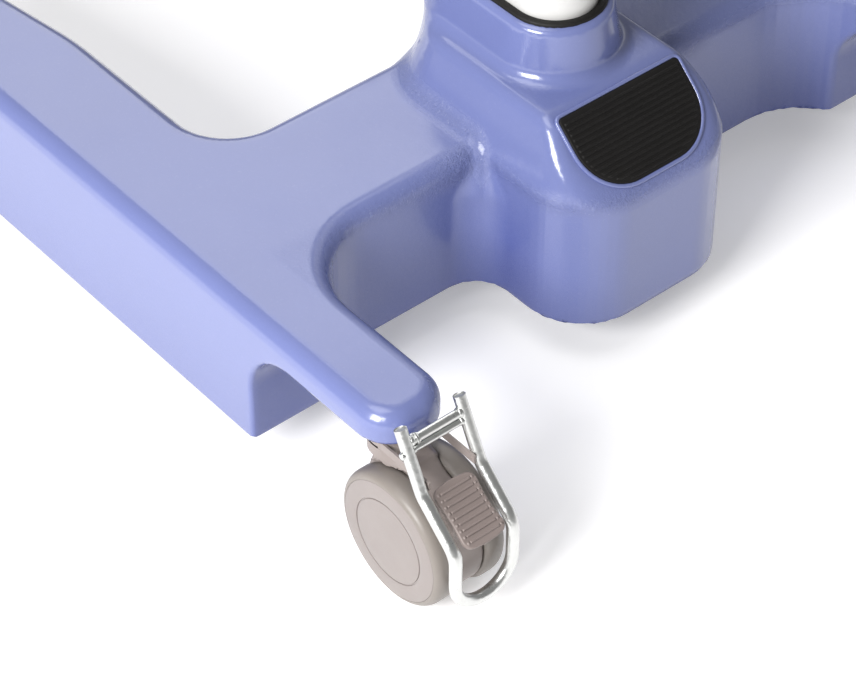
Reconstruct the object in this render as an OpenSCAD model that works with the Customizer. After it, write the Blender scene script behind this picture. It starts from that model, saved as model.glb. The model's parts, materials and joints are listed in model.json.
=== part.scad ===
// Patient lift hoist: an H-shaped castor base with a telescopic lifting mast,
// a boom and a sling spreader bar. Millimetres, +Z up, +Y towards the patient,
// X = 0 is the plane of symmetry and Z = 0 is the floor.

/* [Chassis] */
// Distance of each castor stem from the centre plane
stem_x = 350; // [280:5:420]
// Y of the two rear castor stems
rear_y = -420; // [-500:5:-350]
// Y of the two front castor stems
front_y = 496; // [400:1:600]
// Height of the flat deck above the floor
deck_z = 187; // [160:1:220]
// Height of the lower rim of the skirt
skirt_z = 42; // [30:1:70]
// Underside of the arms over the castors
arm_z = 156; // [150:1:170]
// Radius of each leg tip, half of the arm width
tip_r = 38; // [30:1:50]
// Y of the end of the two rear leg tips
tip_rear = -451; // [-460:1:-440]
// Wall thickness of the casting
wall = 7; // [5:0.5:10]
// Y of the rear edge of the cross spine
spine_rear = -235; // [-260:1:-200]
// Y of the front edge of the cross spine
spine_front = -88; // [-120:1:-60]
// X of the inner edge of the wide part of each front leg
leg_inner = 276; // [240:1:312]

/* [Mast block] */
// Height of the flat top of the mast block
block_z = 237; // [210:1:260]
// Half width of the mast block at its foot
block_half = 101; // [85:1:120]
// Y of the rearmost wall of the mast block
block_rear = -362; // [-400:1:-320]
// Slope of the tread pad at the rear of the block, in degrees
pad_slope = 42; // [20:1:50]
// Half width of the tread pad
pad_half = 69; // [50:1:80]
// Length of the tread pad down its slope
pad_length = 78; // [60:1:90]
// Height of the top of the pedestal around the mast
pedestal_z = 287; // [260:1:310]

/* [Mast] */
// Y of the mast centre
mast_y = -170; // [-200:1:-140]
// Width of the outer mast tube across X
mast_w = 78; // [60:1:100]
// Length of the outer mast tube along Y
mast_l = 160; // [100:1:200]
// Wall thickness of both mast tubes
tube_wall = 4; // [2:0.5:6]
// Top of the outer mast tube
mast_top = 1010; // [900:5:1200]
// Width of the inner mast tube across X
inner_w = 66; // [50:1:72]
// Length of the inner mast tube along Y
inner_l = 148; // [90:1:154]
// Lower end of the inner mast tube when lowered
inner_foot = 320; // [280:5:500]
// Upper end of the inner mast tube when lowered
inner_top = 1150; // [1050:5:1400]

/* [Castors] */
// Wheel diameter
wheel_d = 125; // [75:1:150]
// Horizontal offset of the wheel axle behind the stem
trail = 33; // [25:1:50]
// Width over both wheels of a castor
castor_w = 75; // [60:1:100]
// Width of the housing between the two wheels
housing_w = 29; // [20:1:40]
// Diameter of the neck of the housing
neck_d = 46; // [30:1:60]
// Diameter of the wheel axle
axle_d = 10; // [8:1:14]
// Diameter of the swivel pin below the arm
swivel_d = 12; // [10:1:16]

/* [Brake] */
// Width of the rocking brake pedal
pedal_w = 44; // [30:1:46]
// Length of the brake pedal
pedal_l = 58; // [40:1:64]
// Slope of the brake pedal at rest, in degrees
pedal_slope = 34; // [20:1:50]
// Diameter of the guard rod
rod_d = 11; // [8:0.5:14]
// Distance between the centres of the two sides of the guard
rod_gap = 60; // [50:1:70]

/* [Boom and spreader] */
// Y of the swivel axis at the front of the boom
hanger_y = 330; // [250:5:420]
// Height of the centre of the boom at its front end
boom_front_z = 1262; // [1150:1:1400]
// Height of the centre of the boom at the mast
boom_rear_z = 1210; // [1150:1:1300]
// Length of the spreader bar over both hooks
spreader_w = 540; // [400:5:650]
// Diameter of the spreader bar tube
spreader_d = 30; // [24:1:40]
// Height of the tilt pin of the spreader bar
tilt_z = 1146; // [1050:1:1250]

/* [Controls] */
// Rear face of the control box
box_rear = -330; // [-360:1:-300]
// Width of the control box and of the battery pack
box_w = 112; // [90:1:140]
// Lower face of the control box
box_z = 560; // [450:5:700]
// Height of the control box
box_h = 150; // [120:1:200]
// Height of the battery pack
pack_h = 170; // [120:1:200]
// Height of the centre of the push handle
handle_z = 985; // [900:5:1100]
// Overall width of the push handle
handle_w = 440; // [350:5:600]

/* [Hidden] */
$fn = 64;
gap = 0.3;
run_fit = 0.05;
wheel_r = wheel_d / 2;
mast_rear = mast_y - mast_l / 2;
pad_y = -294;
pad_z = block_z - 2;
blue = [0.60, 0.65, 0.84];
taupe = [0.55, 0.50, 0.48];
disc_grey = [0.78, 0.74, 0.73];
zinc = [0.80, 0.81, 0.82];
steel = [0.62, 0.63, 0.65];
white = [0.93, 0.93, 0.92];
black = [0.10, 0.10, 0.10];
grey = [0.35, 0.36, 0.38];
red = [0.80, 0.10, 0.08];
green = [0.15, 0.55, 0.25];

// ---------- shared shapes ----------

// Stadium outline of width w across X and length l along Y.
module stadium(w, l) {
    square([w, l - w], center = true);
    for (s = [-1, 1]) translate([0, s * (l - w) / 2]) circle(d = w);
}

// Stadium tube between two heights around the mast axis.
module mast_ring(w, l, hole_w, hole_l, z0, z1) {
    translate([0, mast_y, z0]) difference() {
        linear_extrude(z1 - z0) stadium(w, l);
        translate([0, 0, -1]) linear_extrude(z1 - z0 + 2) stadium(hole_w, hole_l);
    }
}

// Solid stadium block around the mast axis.
module mast_block(w, l, z0, z1) {
    translate([0, mast_y, z0]) linear_extrude(z1 - z0) stadium(w, l);
}

// Cylinder of radius r along X, centred on a point.
module bar_x(p, r, length) {
    translate(p) rotate([0, 90, 0]) cylinder(r = r, h = length, center = true);
}

// Cylinder of radius r along Y, centred on a point.
module bar_y(p, r, length) {
    translate(p) rotate([90, 0, 0]) cylinder(r = r, h = length, center = true);
}

// Straight round rod between two points.
module rod(a, b, d) {
    v = b - a;
    translate(a) rotate([0, acos(v[2] / norm(v)), atan2(v[1], v[0])]) cylinder(d = d, h = norm(v));
}

// Chain of rods through a list of points, with a slightly swollen ball at each bend.
module rod_path(points, d) {
    for (i = [0 : len(points) - 2]) rod(points[i], points[i + 1], d);
    for (i = [1 : len(points) - 2]) translate(points[i]) sphere(d = d * 1.03, $fn = 32);
}

// Part of a bent rod in the XZ plane: bend radius r, rod diameter d, from angle a over a sweep.
module bend(p, r, d, a, sweep) {
    translate(p) rotate([90, 0, 0]) rotate([0, 0, a]) rotate_extrude(angle = sweep) translate([r, 0]) circle(d = d);
}

// Box with its lower left rear corner at a and its opposite corner at b.
module block(a, b) {
    translate(a) cube(b - a);
}

// ---------- chassis ----------

// Concave corner between a leg and the spine, radius r, towards dx and dy, grown by an inset.
module corner_fillet(corner, dx, dy, r, inset) {
    translate(corner) difference() {
        translate([min(0, dx * r), min(0, dy * r)]) square([r, r]);
        translate([dx * r, dy * r]) circle(r = r + inset);
    }
}

// Outline of the left leg, widened in front of the spine.
module leg_outline(inset) {
    outer = stem_x + tip_r - inset;
    inner = stem_x - tip_r + inset;
    wide = leg_inner + inset;
    translate([-stem_x, front_y]) circle(r = tip_r - inset);
    for (s = [-1, 1]) translate([-stem_x + s * (tip_r - 34), tip_rear + 34]) circle(r = 34 - inset);
    translate([-stem_x - tip_r + 34, tip_rear + inset]) square([2 * (tip_r - 34), 34]);
    polygon([
        [-outer, tip_rear + 34], [-inner, tip_rear + 34], [-inner, spine_rear], [-wide, spine_front],
        [-wide, 120], [-inner, 380], [-inner, front_y], [-outer, front_y]
    ]);
    corner_fillet([-stem_x + tip_r, spine_rear], 1, -1, 80, inset);
    corner_fillet([-leg_inner, spine_front], 1, 1, 53, inset);
}

// Outline of the whole deck: two legs joined by the spine.
module deck_outline(inset) {
    leg_outline(inset);
    mirror([1, 0]) leg_outline(inset);
    translate([-stem_x, spine_rear + inset]) square([2 * stem_x, spine_front - spine_rear - 2 * inset]);
}

// Deck block with a stepped rounding along its upper edge.
module deck_solid(inset, lower, top) {
    for (step = [[0, 10], [4, 4], [10, 0]]) {
        translate([0, 0, lower]) linear_extrude(top - step[1] - lower) deck_outline(inset + step[0]);
    }
}

// Outline of the mast block: a rectangle with large corners, wider ones in front.
module block_outline(inset) {
    half = block_half - inset;
    rear = block_rear + inset;
    front = -80 - inset;
    rear_r = 62 - inset;
    front_r = 74 - inset;
    translate([-half, rear + rear_r]) square([2 * half, front - rear - rear_r - front_r]);
    translate([-half + rear_r, rear]) square([2 * (half - rear_r), rear_r + 1]);
    translate([-half + front_r, front - front_r - 1]) square([2 * (half - front_r), front_r + 1]);
    for (s = [-1, 1]) {
        translate([s * (half - rear_r), rear + rear_r]) circle(r = rear_r, $fn = 32);
        translate([s * (half - front_r), front - front_r]) circle(r = front_r, $fn = 32);
    }
}

// Mast block with a sloping shoulder above the deck.
module block_solid(inset, lower, top) {
    hull() {
        translate([0, 0, lower]) linear_extrude(top - 50 - lower) block_outline(inset);
        translate([0, 0, top - 22]) linear_extrude(1) block_outline(inset + 14);
        translate([0, 0, top - 1]) linear_extrude(1) block_outline(inset + 24);
    }
}

// Everything above the sloping rear top of the mast block, lowered by a depth.
module slope_cut(depth) {
    translate([-200, pad_y, pad_z]) rotate([pad_slope, 0, 0]) translate([0, -300, -depth]) cube([400, 300, 200]);
}

// Outline of the tread pad on its own slope: straight inner edge, bowed outer edge.
module pad_outline(inset) {
    half = pad_half - inset;
    corner = 46 - inset;
    translate([-half, -pad_length / 2]) square([2 * half, pad_length / 2 - inset]);
    translate([-half + corner, -pad_length + inset]) square([2 * (half - corner), pad_length / 2 + 1]);
    for (s = [-1, 1]) translate([s * (half - corner), -pad_length + inset + corner]) circle(r = corner);
}

// Puts a flat shape on the slope of the tread pad.
module on_slope() {
    translate([0, pad_y, pad_z]) rotate([pad_slope, 0, 0]) children();
}

// Side profile of the arch above a castor, cut through the leg along X.
module arch_cut(y, dir) {
    near = y + dir * 145;
    far = y - dir * 120;
    for (s = [-1, 1]) {
        block([s > 0 ? 285 : -400, min(far, near - dir * 55), -1], [s > 0 ? 400 : -285, max(far, near - dir * 55), arm_z]);
        block([s > 0 ? 285 : -400, min(far, near), -1], [s > 0 ? 400 : -285, max(far, near), arm_z - 55]);
        bar_x([s * 342.5, near - dir * 55, arm_z - 55], 55, 115);
    }
}

// Inside of the legs and spine, open underneath.
module deck_cavity() {
    intersection() {
        translate([0, 0, -1]) linear_extrude(deck_z - wall - 3) deck_outline(wall);
        block([-500, rear_y + 145 + wall, -2], [500, front_y - 145 - wall, 400]);
    }
}

// Painted hollow casting: two legs, spine, mast block and pedestal in one piece.
module chassis_shell() {
    color(blue) difference() {
        union() {
            difference() {
                deck_solid(0, skirt_z, deck_z);
                arch_cut(rear_y, 1);
                arch_cut(front_y, -1);
            }
            difference() {
                block_solid(0, skirt_z, block_z);
                slope_cut(0);
            }
            mast_block(104, 186, block_z - 6, pedestal_z);
            mast_block(112, 194, block_z - 6, pedestal_z - 8);
            mast_block(120, 202, block_z - 6, pedestal_z - 36);
        }
        deck_cavity();
        difference() {
            block_solid(wall, -3, block_z - wall);
            slope_cut(wall + 4);
        }
        on_slope() translate([0, 0, -3]) linear_extrude(20) pad_outline(-0.4);
        mast_block(mast_w + 0.6, mast_l + 0.6, 200, 400);
        mast_block(94.4, 176.4, pedestal_z - 4, 400);
        for (p = foot_holes()) translate([p[0], p[1], 200]) cylinder(r = 4.05, h = block_z - 202.5);
        for (x = [-stem_x, stem_x], y = [rear_y, front_y]) translate([x, y, 100]) cylinder(r = 9, h = 78);
    }
}

// Ribbed rubber pad on the sloping rear of the mast block.
module tread_pad() {
    color(black) on_slope() {
        translate([0, 0, -3]) linear_extrude(5) pad_outline(0);
        intersection() {
            linear_extrude(6) pad_outline(3);
            for (i = [0 : 13]) translate([-100, -8 - i * 5.2, 1]) cube([200, 2.6, 2.2]);
        }
    }
}

// Rubber ring between the pedestal and the mast.
module mast_gasket() {
    color(black) mast_ring(94, 176, mast_w + 0.2, mast_l + 0.2, pedestal_z - 4, pedestal_z + 3);
}

// Four steel castor stems: a threaded spigot in the leg, a flange and a swivel pin with a head.
module castor_stems() {
    color(steel) for (x = [-stem_x, stem_x], y = [rear_y, front_y]) translate([x, y, 0]) {
        translate([0, 0, arm_z - 4]) cylinder(r = 22, h = 4);
        translate([0, 0, arm_z]) cylinder(r = 8.95, h = 21);
        translate([0, 0, 112]) cylinder(d = swivel_d, h = arm_z - 112);
    }
}

// ---------- castors ----------

// Housing of one twin-wheel castor, stem axis at the origin, trailing towards -Y.
module housing_shape(braked) {
    r_body = wheel_r - 3.5;
    difference() {
        union() {
            bar_x([0, -trail, wheel_r], r_body, housing_w);
            translate([0, 0, 96]) cylinder(d = housing_w, h = 40);
            translate([0, 0, 127.8]) cylinder(d = neck_d, h = arm_z - 4 - gap - 127.8);
            block([-housing_w / 2, -trail, wheel_r], [housing_w / 2, 0, 120]);
            if (braked) bar_x(brake_pivot(), 9, housing_w);
        }
        translate([0, 0, 111]) cylinder(r = swivel_d / 2 + run_fit, h = 60);
        bar_x([0, -trail, wheel_r], axle_d / 2 + run_fit, 100);
        bar_x([0, -trail, wheel_r], 24, housing_w - 20);
        block([-20, -trail - 80, -10], [20, 20, 16]);
        if (braked) {
            bar_x(brake_pivot(), 3 + run_fit, 100);
            block([-6.5, -130, 92], [6.5, -68, 124]);
        }
    }
}

// Centre of the brake pedal hinge in the castor frame.
function brake_pivot() = [0, -79, 103];

// One wheel with its outer face towards +X, axis along X through the origin.
module wheel_shape() {
    w0 = housing_w / 2 + gap;
    w1 = castor_w / 2;
    rotate([0, 90, 0]) rotate_extrude($fn = 96) polygon([
        [axle_d / 2 + run_fit, w0], [wheel_r - 5, w0], [wheel_r - 1.5, w0 + 1.5], [wheel_r, w0 + 5],
        [wheel_r, w1 - 9], [wheel_r - 1.2, w1 - 5], [wheel_r - 4.5, w1 - 1.8], [wheel_r - 9, w1],
        [40.2, w1], [40.2, w1 - 1], [39.2, w1 - 1], [39.2, w1], [0, w1],
        [0, w1 - 5], [axle_d / 2 + run_fit, w1 - 5]
    ]);
}

// Places children at one castor: side -1 left or 1 right, at the Y of its stem.
module at_castor(side, y) {
    translate([side * stem_x, y, 0]) children();
}

module castor_housing(side, y, braked) {
    color(taupe) at_castor(side, y) housing_shape(braked);
}

module castor_axle(side, y) {
    color(steel) at_castor(side, y) bar_x([0, -trail, wheel_r], axle_d / 2, castor_w - 12);
}

// Wheel facing out along +X (1) or -X (-1).
module castor_wheel(side, y, face) {
    color(disc_grey) at_castor(side, y) translate([0, -trail, wheel_r]) rotate([0, 0, face > 0 ? 0 : 180]) wheel_shape();
}

// Rocking pedal with raised bars and a lug that reaches down to its hinge pin.
module brake_pedal(side) {
    centre = [0, -89.5, 119];
    color(taupe) at_castor(side, rear_y) difference() {
        union() {
            translate(centre) rotate([pedal_slope, 0, 0]) {
                translate([0, 0, -2.5]) linear_extrude(5) {
                    square([pedal_w, pedal_l - 16], center = true);
                    square([pedal_w - 16, pedal_l], center = true);
                    for (x = [-1, 1], y = [-1, 1]) translate([x * (pedal_w / 2 - 8), y * (pedal_l / 2 - 8)]) circle(r = 8);
                }
                for (i = [-4 : 4]) translate([-pedal_w / 2 + 4, i * 5.5 - 0.9, 2]) cube([pedal_w - 8, 1.8, 1.6]);
                translate([-5.8, -5, -17]) cube([11.6, 10, 16]);
            }
            bar_x(brake_pivot(), 7, 11);
        }
        bar_x(brake_pivot(), 3 + run_fit, 40);
    }
}

module brake_pin(side) {
    color(steel) at_castor(side, rear_y) bar_x(brake_pivot(), 3, housing_w - 1);
}

// Centre line of one side of the guard, in the castor frame.
function bail_side(x) = [[x, -41, 192], [x, -68, 138], [x, -108.5, 101], [x, -108.5, 67]];

// Bent rod guard around the pedal, with its welded double crossbar.
module guard_bail(side) {
    half = rod_gap / 2;
    color(zinc) at_castor(side, rear_y) {
        for (s = [-1, 1]) {
            rod_path(bail_side(s * half), rod_d);
        }
        bend([0, -108.5, 67], half, rod_d, 180, 180);
        bar_x([0, -47.5, 180], 4, rod_gap);
        bar_x([0, -50.5, 173.3], 3, rod_gap);
    }
}

// Steel strap that clamps the guard to the neck of the castor housing.
module guard_strap(side) {
    r = neck_d / 2;
    color(zinc) at_castor(side, rear_y) {
        translate([0, 0, 141]) rotate_extrude() translate([r + 0.05, 0]) square([1.5, 8]);
        for (s = [-1, 1]) block([s * 23.4 - 1, -69, 141], [s * 23.4 + 1, -9, 149]);
    }
}

// ---------- mast ----------

// Centres of the four screw holes in the mast foot.
function foot_holes() = [for (x = [-46, 46], y = [-62, 40]) [x, mast_y + y]];
// Painted fixed mast tube on a welded foot plate.
module mast_outer() {
    color(white) {
        mast_ring(mast_w, mast_l, mast_w - 2 * tube_wall, mast_l - 2 * tube_wall, block_z - wall - 10, mast_top);
        difference() {
            translate([0, 0, block_z - wall - 10]) linear_extrude(9.8) intersection() {
                translate([-66, mast_y - 80]) square([132, 155]);
                block_outline(wall + 25);
            }
            mast_block(mast_w - 2 * tube_wall, mast_l - 2 * tube_wall, 100, 400);
            for (p = foot_holes()) translate([p[0], p[1], 200]) cylinder(r = 4.5, h = 60);
        }
    }
}

// Four screws that hold the mast foot under the block.
module mast_bolts() {
    color(steel) for (p = foot_holes()) translate([p[0], p[1], block_z - wall - 16]) {
        cylinder(r = 7, h = 6);
        cylinder(r = 4, h = 20);
    }
}

// Plastic collar on the top of the outer mast tube.
module mast_collar() {
    color(grey) {
        mast_ring(mast_w + 8, mast_l + 8, mast_w + 0.1, mast_l + 0.1, mast_top - 22, mast_top);
        mast_ring(mast_w + 8, mast_l + 8, inner_w + 1, inner_l + 1, mast_top, mast_top + 5);
    }
}

// Fixed low-friction ring inside the top of the outer tube.
module guide_ring() {
    color(black) mast_ring(mast_w - 2 * tube_wall, mast_l - 2 * tube_wall, inner_w + 2 * gap, inner_l + 2 * gap, mast_top - 70, mast_top);
}

// Telescoping inner mast tube.
module mast_inner() {
    color(white) mast_ring(inner_w, inner_l, inner_w - 2 * tube_wall, inner_l - 2 * tube_wall, inner_foot, inner_top);
}

// Sliding shoe around the foot of the inner tube.
module slide_shoe() {
    color(black) mast_ring(mast_w - 2 * tube_wall - 2 * gap, mast_l - 2 * tube_wall - 2 * gap, inner_w, inner_l, inner_foot, inner_foot + 60);
}

// Linear actuator: gearmotor below the mast foot and its fixed outer tube.
module actuator_body() {
    color(grey) difference() {
        union() {
            translate([0, mast_y, 130]) cylinder(r = 34, h = block_z - wall - 10 - 130);
            bar_y([0, mast_y - 60, 163], 28, 130);
            translate([0, mast_y, 200]) cylinder(r = 22, h = 670);
        }
        translate([0, mast_y, 260]) cylinder(r = 18, h = 600);
        translate([0, mast_y, 800]) cylinder(r = 14.4, h = 100);
    }
}

// Push rod of the actuator, with its eye in the mast head.
module actuator_rod() {
    color(steel) translate([0, mast_y, 290]) cylinder(r = 14, h = inner_top - 290);
}

// Cast head that closes the inner tube and carries the boom.
module mast_head() {
    color(white) difference() {
        union() {
        mast_block(inner_w - 2 * tube_wall, inner_l - 2 * tube_wall, inner_top + 0.2, inner_top + 4);
        mast_block(inner_w + 12, inner_l + 12, inner_top, inner_top + 22);
        for (s = [-1, 1]) translate([s * 37 - 4, 0, 0]) rotate([90, 0, 90]) linear_extrude(8) polygon([
            [mast_y - 62, inner_top + 20], [mast_y + 66, inner_top + 20],
            [mast_y + 58, inner_top + 98], [mast_y - 54, inner_top + 88]
        ]);
        }
        for (y = [-34, 36]) bar_x([0, mast_y + y, boom_rear_z + 2], 6.05, 100);
    }
}

// Two through bolts with nuts that hold the boom in the head.
module head_bolts() {
    color(steel) for (y = [-34, 36]) {
        bar_x([0, mast_y + y, boom_rear_z + 2], 6, 96);
        bar_x([-44.5, mast_y + y, boom_rear_z + 2], 10, 7);
        bar_x([44.5, mast_y + y, boom_rear_z + 2], 10, 7);
    }
}

// ---------- boom and spreader ----------

// Side outline of the boom: level over the mast, then rising to the front.
module boom_profile() {
    polygon([
        [mast_y - 78, boom_rear_z - 34], [mast_y + 84, boom_rear_z - 34],
        [hanger_y - 26, boom_front_z - 24], [hanger_y - 26, boom_front_z + 24],
        [mast_y + 84, boom_rear_z + 34], [mast_y - 78, boom_rear_z + 28]
    ]);
}

// Rigid boom with a vertical swivel boss at its front end.
module boom() {
    color(white) difference() {
        union() {
            translate([-32, 0, 0]) rotate([90, 0, 90]) linear_extrude(64) boom_profile();
            translate([0, hanger_y, boom_front_z - 34]) cylinder(r = 34, h = 60);
        }
        translate([0, hanger_y, boom_front_z - 50]) cylinder(r = 10 + run_fit, h = 100);
        translate([0, hanger_y, boom_front_z + 14]) cylinder(r = 18, h = 30);
        for (y = [-34, 36]) bar_x([0, mast_y + y, boom_rear_z + 2], 6.05, 100);
    }
}

// Swivel pin and fork that carry the spreader bar.
module swivel_hanger() {
    top = boom_front_z - 34 - gap;
    color(zinc) difference() {
        union() {
            translate([0, hanger_y, top - 12]) cylinder(r = 24, h = 12);
            translate([0, hanger_y, top - 1]) cylinder(r = 10, h = 34 + 34);
            for (s = [-1, 1]) {
                block([-20, hanger_y + s * 22 - 5, tilt_z], [20, hanger_y + s * 22 + 5, top - 6]);
                bar_y([0, hanger_y + s * 22, tilt_z], 20, 10);
            }
            block([-20, hanger_y - 27, top - 20], [20, hanger_y + 27, top - 8]);
        }
        bar_y([0, hanger_y, tilt_z], 7 + run_fit, 80);
    }
}

// Castle nut that keeps the swivel pin in the boom.
module hanger_nut() {
    color(steel) translate([0, hanger_y, boom_front_z + 14 + gap]) difference() {
        cylinder(r = 16, h = 12, $fn = 6);
        translate([0, 0, -1]) cylinder(r = 10.03, h = 20);
    }
}

// Pin on which the spreader bar tilts.
module tilt_pin() {
    color(steel) {
        bar_y([0, hanger_y, tilt_z], 7, 60);
        bar_y([0, hanger_y - 29.2, tilt_z], 11, 4);
        bar_y([0, hanger_y + 29.2, tilt_z], 11, 4);
    }
}

// Centre line of one half of the spreader bar, from the hub to the root of its hook.
function spreader_side(s) = [
    [0, hanger_y, tilt_z], [s * 60, hanger_y, tilt_z], [s * (spreader_w / 2 - 62), hanger_y, tilt_z - 71]
];

// Curved sling bar with a hub and an open hook at each end.
module spreader_bar() {
    tip = spreader_w / 2 - 8;
    color(white) difference() {
        union() {
            bar_y([0, hanger_y, tilt_z], 19, 33);
            for (s = [-1, 1]) {
                rod_path(spreader_side(s), spreader_d);
                translate(spreader_side(s)[2]) sphere(d = spreader_d * 1.03, $fn = 32);
                bend([s * (tip - 24), hanger_y, tilt_z - 74], 24, 16, 180, 180);
                rod([s * tip, hanger_y, tilt_z - 74], [s * tip, hanger_y, tilt_z - 50], 16);
            }
        }
        bar_y([0, hanger_y, tilt_z], 7 + run_fit, 80);
    }
}

// Rubber balls on the tips of the two sling hooks.
module hook_sleeves() {
    color(black) for (s = [-1, 1]) translate([s * (spreader_w / 2 - 8), hanger_y, tilt_z - 46]) difference() {
        sphere(r = 12);
        translate([0, 0, -24]) cylinder(r = 8.05, h = 20.1);
    }
}

// ---------- handle and controls ----------

// Centre line of the push handle tube.
function handle_line() = [
    [-handle_w / 2, -330, handle_z], [-150, -372, handle_z], [150, -372, handle_z], [handle_w / 2, -330, handle_z]
];

// Bent tube handle on two arms from a clamp around the mast.
module push_handle() {
    color(grey) difference() {
        union() {
            rod_path(handle_line(), 26);
            mast_block(mast_w + 16, mast_l + 16, 925, 980);
            for (s = [-1, 1]) rod_path([[s * 40, mast_y - 50, 952], [s * 62, -300, 964], [s * 62, -372, handle_z]], 20);
        }
        mast_block(mast_w + 0.2, mast_l + 0.2, 900, 1000);
    }
}

// Soft grips on both ends of the handle.
module handle_grips() {
    angle = atan2(42, handle_w / 2 - 150);
    color(black) for (s = [-1, 1]) translate([s * handle_w / 2, -330, handle_z]) {
        rotate([0, 0, s > 0 ? angle : 180 - angle]) rotate([0, 90, 0]) difference() {
            translate([0, 0, -64]) cylinder(r = 17, h = 74);
            translate([0, 0, -65]) cylinder(r = 13.1, h = 65.1);
        }
    }
}

// Clamp screws of the push handle.
module clamp_bolts() {
    color(steel) for (s = [-1, 1], z = [938, 968]) bar_x([s * 49.5, mast_y + 30, z], 6, 5);
}

// Control box and battery cradle on the rear of the mast.
module control_box() {
    z1 = box_z + box_h;
    color(grey) difference() {
        union() {
            block([-box_w / 2, box_rear, box_z], [box_w / 2, mast_rear - 6, z1]);
            block([-box_w / 2, mast_rear - 16, z1 - 1], [box_w / 2, mast_rear - 6, z1 + pack_h - 20]);
            block([-34, mast_rear - 12, box_z + 20], [34, mast_y - 44, z1 + 100]);
        }
        mast_block(mast_w + 0.2, mast_l + 0.2, 300, 1200);
        bar_y([-24, box_rear, box_z + 98], 9.4, 24);
        bar_y([26, box_rear, box_z + 112], 11.3, 16);
        bar_y([26, box_rear, box_z + 78], 11.3, 16);
        bar_x([-box_w / 2 + 5, -290, box_z + 45], 9.1, 14);
        for (x = [-48, 48], z = [box_z + 10, z1 - 10]) bar_y([x, box_rear, z], 2.5, 14);
    }
}

// Battery pack that stands on the control box and lifts off.
module battery_pack() {
    z0 = box_z + box_h + gap;
    color(black) difference() {
        block([-box_w / 2, box_rear, z0], [box_w / 2, mast_rear - 16 - gap, z0 + pack_h]);
        block([-34, box_rear + 14, z0 + pack_h - 26], [34, mast_rear - 36, z0 + pack_h + 1]);
        block([-34, box_rear - 1, z0 + pack_h - 26], [34, box_rear + 15, z0 + pack_h - 12]);
    }
}

// Red mushroom emergency stop.
module emergency_stop() {
    color(red) {
        bar_y([-24, box_rear - 1, box_z + 98], 9.1, 14);
        translate([-24, box_rear - 8, box_z + 98]) rotate([90, 0, 0]) cylinder(r1 = 19, r2 = 16, h = 12);
    }
}

// Round push button flush with the box face.
module push_button(z, tone) {
    color(tone) bar_y([26, box_rear + 0.5, z], 11, 9);
}

// Round socket for the plug-in handset, on the left side of the control box.
module handset_socket() {
    color(black) translate([-box_w / 2 - 4, -290, box_z + 45]) rotate([0, 90, 0]) difference() {
        union() {
            cylinder(r = 12, h = 4);
            cylinder(r = 9, h = 15);
        }
        translate([0, 0, -1]) cylinder(r = 6, h = 12);
    }
}

// Four countersunk screws in the corners of the box.
module box_screws() {
    color(steel) for (x = [-48, 48], z = [box_z + 10, box_z + box_h - 10]) bar_y([x, box_rear + 3, z], 2.45, 6.4);
}

chassis_shell();
tread_pad();
mast_gasket();
castor_stems();
castor_housing(-1, rear_y, true);  // castor_housing_rl
castor_housing(1, rear_y, true);  // castor_housing_rr
castor_housing(-1, front_y, false);  // castor_housing_fl
castor_housing(1, front_y, false);  // castor_housing_fr
castor_axle(-1, rear_y);  // castor_axle_rl
castor_axle(1, rear_y);  // castor_axle_rr
castor_axle(-1, front_y);  // castor_axle_fl
castor_axle(1, front_y);  // castor_axle_fr
castor_wheel(-1, rear_y, -1);  // wheel_rl_outer
castor_wheel(-1, rear_y, 1);  // wheel_rl_inner
castor_wheel(1, rear_y, 1);  // wheel_rr_outer
castor_wheel(1, rear_y, -1);  // wheel_rr_inner
castor_wheel(-1, front_y, -1);  // wheel_fl_outer
castor_wheel(-1, front_y, 1);  // wheel_fl_inner
castor_wheel(1, front_y, 1);  // wheel_fr_outer
castor_wheel(1, front_y, -1);  // wheel_fr_inner
brake_pedal(-1);  // brake_pedal_rl
brake_pedal(1);  // brake_pedal_rr
brake_pin(-1);  // brake_pin_rl
brake_pin(1);  // brake_pin_rr
guard_bail(-1);  // guard_bail_rl
guard_bail(1);  // guard_bail_rr
guard_strap(-1);  // guard_strap_rl
guard_strap(1);  // guard_strap_rr
mast_outer();
mast_bolts();
mast_collar();
guide_ring();
mast_inner();
slide_shoe();
actuator_body();
actuator_rod();
mast_head();
head_bolts();
boom();
swivel_hanger();
hanger_nut();
tilt_pin();
spreader_bar();
hook_sleeves();
push_handle();
handle_grips();
clamp_bolts();
control_box();
battery_pack();
emergency_stop();
push_button(box_z + 112, green);  // button_up
push_button(box_z + 78, green);  // button_down
handset_socket();
box_screws();
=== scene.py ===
"""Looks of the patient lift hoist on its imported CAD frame. X is to the right, Y to the front, Z up.

Shapes are worked out in millimetres, and MM turns them into metres. Lights and camera are in metres.
"""

import json
import math

import bmesh
import bpy
import numpy as np
from mathutils import Matrix, Vector

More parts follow.
